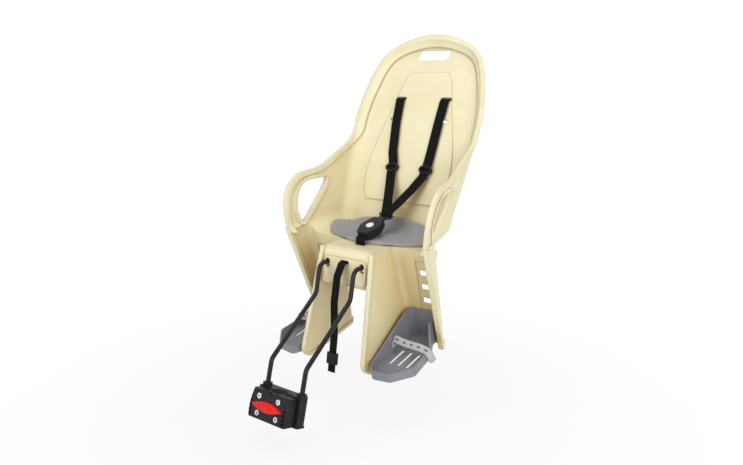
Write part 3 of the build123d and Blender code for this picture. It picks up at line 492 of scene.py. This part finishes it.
# Sliders: an oval ring over the webbing and one under it, joined beside its edges
SLIDER_OVAL = (15.1, 8.6)
SLIDER_SECTION = (2.4, 1.6)
SLIDER_LIFT = 2.6
SLIDER_POST = (2.2, 4.0)
OVAL_STEPS = 56
SECTION_STEPS = 12
POST_STEPS = 24
SIDES = ((1, "left"), (-1, "right"))


def turns(count):
    """Cosine and sine of each of that many equal steps round a circle."""
    angles = [math.tau * step / count for step in range(count)]
    return [(math.cos(angle), math.sin(angle)) for angle in angles]


def slider_mesh(name, side):
    head, foot = slider_ends(side)
    middle = (head + foot) / 2
    run = (head - foot).normalized()
    wide = (ACROSS - run * run.x).normalized()
    out = wide.cross(run)
    long, short = SLIDER_OVAL
    broad, thick = SLIDER_SECTION
    work = bmesh.new()
    for lift in (SLIDER_LIFT, -SLIDER_LIFT):
        loops = []
        for cosine, sine in turns(OVAL_STEPS):
            spot = wide * long * cosine + run * short * sine + out * lift
            away = (wide * short * cosine + run * long * sine).normalized()
            section = [spot + away * broad * u + out * thick * v for u, v in turns(SECTION_STEPS)]
            loops.append([work.verts.new(middle + point * MM) for point in section])
        for first, second in zip(loops, loops[1:] + loops[:1]):
            band_faces(work, first, second)
    turned = Matrix((wide, run, out)).transposed().to_4x4()
    for end in (1, -1):
        post = Matrix.Translation(middle + wide * end * long * MM) @ turned
        post = post @ Matrix.Diagonal((SLIDER_POST[0] * MM, SLIDER_POST[1] * MM, MM, 1))
        bmesh.ops.create_cone(
            work,
            cap_ends=True,
            segments=POST_STEPS,
            radius1=1,
            radius2=1,
            depth=2 * SLIDER_LIFT,
            matrix=post,
        )
    bmesh.ops.recalc_face_normals(work, faces=work.faces)
    smooth_faces(work.faces)
    return as_mesh(work, name)


for side, hand in SIDES:
    node = "strap_slider_" + hand
    mesh = slider_mesh(node + "_ring", side)
    add_object(node + "_ring", mesh, black_plastic, "seat", node)


# Foot straps: a rubber band with keyhole slots, buttoned on a stud
BAND_WIDE = 16.0
BAND_THICK = 2.6
HOLE_PITCH = 17.0
HOLE_HALF = (3.6, 2.6, 1.1)
CELL_RINGS = 4
CELL_STEPS = 8
BAND_REAR = -83.0
BAND_POINTS = ((101, 26), (101, 44), (105, 46), (130, 41), (168, 40), (187, 36), (197, 15))
BAND_PASSES = 20
BAND_ACROSS = LEG_REAR * -0.62 - LEG_UP * 0.78
STUD_HALF = (9.0, 9.0, 5.0)
STUD_STEPS = (32, 16)
STUD_FROM_END = 4
NOTHING = 1e-6


def hole_edge(angle):
    """Distance from a slot's middle to its waisted edge in that direction."""
    long, end, waist = HOLE_HALF
    run, rise = abs(math.cos(angle)), abs(math.sin(angle))
    flare = (end - waist) / long
    to_end = long / run if run > NOTHING else math.inf
    room = rise - flare * run
    to_side = waist / room if room > NOTHING else math.inf
    return min(to_end, to_side)


def slotted_cell(work, middle, pitch):
    """One length of the flat band round its slot, as rings from the slot out to the cell's edge."""
    end, edge = pitch / 2, BAND_WIDE / 2
    corners = [(end, -edge), (end, edge), (-end, edge), (-end, -edge)]
    border = []
    for (u0, v0), (u1, v1) in zip(corners, corners[1:] + corners[:1]):
        for step in range(CELL_STEPS):
            share = step / CELL_STEPS
            border.append((u0 + (u1 - u0) * share, v0 + (v1 - v0) * share))
    loops = []
    for ring in range(CELL_RINGS + 1):
        share = ring / CELL_RINGS
        loop = []
        for u, v in border:
            reach = math.hypot(u, v)
            inner = hole_edge(math.atan2(v, u)) / reach
            scale = inner + (1 - inner) * share
            loop.append(work.verts.new((middle + u * scale, v * scale, 0)))
        loops.append(loop)
    for inner, outer in zip(loops, loops[1:]):
        band_faces(work, inner, outer)


def foot_strap_mesh(name, side):
    line = [leg_spot(side * x, BAND_REAR, up) for x, up in BAND_POINTS]
    path, length = smooth_path(line, BAND_PASSES)
    frames = list(path_frames(path, BAND_ACROSS))
    cells = round(length / MM / HOLE_PITCH)
    pitch = length / MM / cells
    work = bmesh.new()
    for cell in range(cells):
        slotted_cell(work, (cell + 0.5) * pitch, pitch)
    bmesh.ops.remove_doubles(work, verts=work.verts, dist=JOIN_REACH)
    for vert in work.verts:
        place = min(max(vert.co.x * MM / length, 0.0), 1.0) * (len(path) - 1)
        index = min(int(place), len(path) - 2)
        share = place - index
        (spot, wide, _), (spot_after, wide_after, _) = frames[index], frames[index + 1]
        vert.co = spot.lerp(spot_after, share) + wide.lerp(wide_after, share) * vert.co.y * MM
    bmesh.ops.recalc_face_normals(work, faces=work.faces)
    bmesh.ops.solidify(work, geom=work.faces[:], thickness=BAND_THICK * MM)
    end, _, out = frames[-STUD_FROM_END]
    stud = Matrix.Translation(end) @ out.to_track_quat("Z", "Y").to_matrix().to_4x4()
    stud = stud @ Matrix.Diagonal((*(half * MM for half in STUD_HALF), 1))
    round_steps, rise_steps = STUD_STEPS
    bmesh.ops.create_uvsphere(work, u_segments=round_steps, v_segments=rise_steps, radius=1.0, matrix=stud)
    smooth_faces(work.faces)
    return as_mesh(work, name)


for side, hand in SIDES:
    node = "foot_strap_" + hand
    mesh = foot_strap_mesh(node + "_band", side)
    add_object(node + "_band", mesh, strap_grey, "footrest_" + hand + "_body", node)


# Seat pad: foam with drawn-in corners that swells between its pressed border and a fold across the seat
PAD_VOXEL = 2.0
PAD_PASSES = 8
PAD_CROWN = 3.0
PAD_SWELL = 26.0
PAD_SWELL_POWER = 0.7
PAD_SEAM = (9.0, 2.2, 0.9)
PAD_FOLD = (148.0, 4.0, 1.6)
PAD_FOLD_BORDER = 12.0
PAD_ROUND = 0.8
PAD_ABOVE = 10.0
PAD_TALL = 30.0
PAD_EASE = 60
PAD_FACING = -BACK_OUT.lerp(Vector((0, 0, -1)), 0.6).normalized()
PAD_FACING_LEAST = 0.35

pad_mesh = remeshed("seat_pad", PAD_VOXEL, PAD_PASSES)
count = len(pad_mesh.vertices)
spots = np.empty(count * 3)
normals = np.empty(count * 3)
pad_mesh.vertices.foreach_get("co", spots)
pad_mesh.vertex_normals.foreach_get("vector", normals)
spots = spots.reshape(-1, 3)
normals = normals.reshape(-1, 3)
shell = nodes["seat_shell"].data
shell_tree = bvhtree.BVHTree.FromPolygons(
    [vert.co for vert in shell.vertices], [face.vertices for face in shell.polygons]
)
low, high = spots.min(axis=0), spots.max(axis=0)
centre, half = (low + high) / 2, (high - low) / 2


def pan_heights(plan):
    """Height of the pan under each point of the pad's plan."""
    places = centre[:2] + plan * half[:2]
    start = high[2] + PAD_ABOVE * MM
    hits = [shell_tree.ray_cast((x, y, start), (0, 0, -1))[0] for x, y in places]
    return np.array([hit.z if hit else np.nan for hit in hits])


def groove(where, place, reach, depth):
    """Depth of a soft dip round a place."""
    return depth * np.exp(-(((where - place) / reach) ** 2))


plan = (spots - centre)[:, :2] / half[:2]
drawn_in = plan * np.sqrt(1 - PAD_ROUND * plan[:, ::-1] ** 2 / 2)
before, after = pan_heights(plan), pan_heights(drawn_in)
above = (spots[:, 2] - before) / MM
on_pan = np.flatnonzero((above > 0) & (above < PAD_TALL))
pan_tree = kdtree.KDTree(len(on_pan))
for index in on_pan:
    pan_tree.insert((*plan[index], 0), index)
pan_tree.balance()
nearest = [[found[1] for found in pan_tree.find_n((*place, 0), PAD_EASE)] for place in plan]
spots[:, 2] += (after - before)[nearest].mean(axis=1)
spots[:, :2] = centre[:2] + drawn_in * half[:2]
upper = normals @ np.array(PAD_FACING) > PAD_FACING_LEAST
edge_spots = spots[~upper]
edge_tree = kdtree.KDTree(len(edge_spots))
for index, spot in enumerate(edge_spots):
    edge_tree.insert(spot, index)
edge_tree.balance()
inward = np.array([edge_tree.find(spot)[2] for spot in spots]) / MM
along = spots[:, 1] / MM - SEAT_Y
swell = PAD_CROWN * np.clip(inward / PAD_SWELL, 0, 1) ** PAD_SWELL_POWER
seam = groove(inward, *PAD_SEAM)
fold = groove(along, *PAD_FOLD) * np.clip(inward / PAD_FOLD_BORDER, 0, 1)
lift = np.where(upper, swell - seam - fold, 0) * MM
pad_mesh.vertices.foreach_set("co", (spots + normals * lift[:, None]).ravel())
pad_mesh.update()
pad = add_object("seat_pad_foam", pad_mesh, pad_grey, "seat", "seat_pad")


for joint in frame["joints"]:
    for bent in joint.get("deforming_nodes", ()):
        node = bent["node"]
        leaf_mesh = joined_copy(node)
        leaf = add_object(node + "_leaf", leaf_mesh, steel, "seat", node)
        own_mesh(leaf)


# Floor, lights and camera
FLOOR_Z = -0.075
FLOOR_HALF = 12.0
FLOOR_COLOUR = (0.82, 0.82, 0.82, 1)
FLOOR_ROUGH = 0.9
WHITE = (1, 1, 1, 1)
MIDDLE = Vector((0.0, 0.25, 0.38))
SHADOW_POOL = (0.25, 0.9)
SHADOW_SHARE = 0.14
WORLD_LIGHT = 0.25


def seen_directly(tree):
    """1 for rays from the camera or off a glossy or clear surface, 0 for light on the object."""
    path = tree.nodes.new("ShaderNodeLightPath")
    seen = path.outputs["Is Camera Ray"]
    for kind in ("Is Glossy Ray", "Is Transmission Ray"):
        larger = tree.nodes.new("ShaderNodeMath")
        larger.operation = "MAXIMUM"
        tree.links.new(seen, larger.inputs[0])
        tree.links.new(path.outputs[kind], larger.inputs[1])
        seen = larger.outputs["Value"]
    return seen


def mixed(tree, share, first, second):
    chooser = tree.nodes.new("ShaderNodeMixShader")
    tree.links.new(share, chooser.inputs["Fac"])
    tree.links.new(first, chooser.inputs[1])
    tree.links.new(second, chooser.inputs[2])
    return chooser.outputs["Shader"]


def shadow_share(tree):
    """How much of the floor's own shade shows: some of it under the object, none far away."""
    spot = tree.nodes.new("ShaderNodeNewGeometry")
    reach = tree.nodes.new("ShaderNodeVectorMath")
    reach.operation = "DISTANCE"
    reach.inputs[1].default_value = (MIDDLE.x, MIDDLE.y, FLOOR_Z)
    fade = tree.nodes.new("ShaderNodeMapRange")
    fade.interpolation_type = "SMOOTHSTEP"
    fade.inputs["From Min"].default_value, fade.inputs["From Max"].default_value = SHADOW_POOL
    fade.inputs["To Min"].default_value = SHADOW_SHARE
    fade.inputs["To Max"].default_value = 0.0
    tree.links.new(spot.outputs["Position"], reach.inputs[0])
    tree.links.new(reach.outputs["Value"], fade.inputs["Value"])
    return fade.outputs["Result"]


floor_mesh = bpy.data.meshes.new("floor")
signs = ((-1, -1), (1, -1), (1, 1), (-1, 1))
corners = [(x * FLOOR_HALF, y * FLOOR_HALF, FLOOR_Z) for x, y in signs]
floor_mesh.from_pydata(corners, [], [(0, 1, 2, 3)])
floor = bpy.data.objects.new("floor", floor_mesh)
bpy.context.scene.collection.objects.link(floor)
floor_material, floor_tree, floor_shader, _ = new_material("floor_paper")
floor_shader.inputs["Base Color"].default_value = FLOOR_COLOUR
floor_shader.inputs["Roughness"].default_value = FLOOR_ROUGH
paper = floor_shader.outputs["BSDF"]
glow = floor_tree.nodes.new("ShaderNodeEmission")
glow.inputs["Color"].default_value = WHITE
glow.inputs["Strength"].default_value = 1.0
shaded = mixed(floor_tree, shadow_share(floor_tree), glow.outputs["Emission"], paper)
surface = mixed(floor_tree, seen_directly(floor_tree), paper, shaded)
floor_tree.links.new(surface, floor_tree.nodes["Material Output"].inputs["Surface"])
floor_mesh.materials.append(floor_material)

world = bpy.data.worlds.new("studio")
bpy.context.scene.world = world
world.use_nodes = True
world_tree = world.node_tree
sky = world_tree.nodes["Background"]
sky.inputs["Color"].default_value = WHITE
sky.inputs["Strength"].default_value = WORLD_LIGHT
white = world_tree.nodes.new("ShaderNodeBackground")
white.inputs["Color"].default_value = WHITE
white.inputs["Strength"].default_value = 1.0
lit, shown = sky.outputs["Background"], white.outputs["Background"]
backdrop = mixed(world_tree, seen_directly(world_tree), lit, shown)
world_tree.links.new(backdrop, world_tree.nodes["World Output"].inputs["Surface"])


def softbox(name, place, size, power):
    light = bpy.data.lights.new(name, "AREA")
    light.shape = "RECTANGLE"
    light.size, light.size_y = size
    light.energy = power
    lamp = bpy.data.objects.new(name, light)
    bpy.context.scene.collection.objects.link(lamp)
    lamp.location = place
    lamp.rotation_mode = "QUATERNION"
    lamp.rotation_quaternion = (MIDDLE - Vector(place)).to_track_quat("-Z", "Y")


softbox("key", (-0.9, -2.4, 1.0), (1.8, 1.8), 29)
softbox("fill", (2.5, -1.2, 0.7), (1.8, 1.8), 47)
softbox("top", (0.2, 0.0, 2.4), (1.8, 1.8), 20)
softbox("back", (0.6, 2.4, 1.4), (1.8, 1.4), 20)

CAMERA_DEGREES = (37.9, 9.8, 0.43)
CAMERA_PLACE = (0.977, -0.946, 0.626)
CAMERA_SHIFT = (-0.0034, -0.0276)
CAMERA_CLIP = (0.05, 50.0)
SENSOR = 36.0
FOCAL_PIXELS, FRAME_PIXELS = 721.0, 743.0

camera_data = bpy.data.cameras.new("camera")
camera = bpy.data.objects.new("camera", camera_data)
bpy.context.scene.collection.objects.link(camera)
bpy.context.scene.camera = camera
azimuth, pitch, roll = (math.radians(turn) for turn in CAMERA_DEGREES)
level = math.cos(pitch)
ahead = Vector((-math.sin(azimuth) * level, math.cos(azimuth) * level, -math.sin(pitch)))
rolled = Matrix.Rotation(roll, 3, "Z").to_quaternion()
camera.location = CAMERA_PLACE
camera.rotation_mode = "QUATERNION"
camera.rotation_quaternion = ahead.to_track_quat("-Z", "Y") @ rolled
camera_data.sensor_width = SENSOR
camera_data.lens = SENSOR * FOCAL_PIXELS / FRAME_PIXELS
camera_data.shift_x, camera_data.shift_y = CAMERA_SHIFT
camera_data.clip_start, camera_data.clip_end = CAMERA_CLIP
bpy.context.scene.view_settings.view_transform = "Standard"

bpy.context.view_layer.update()
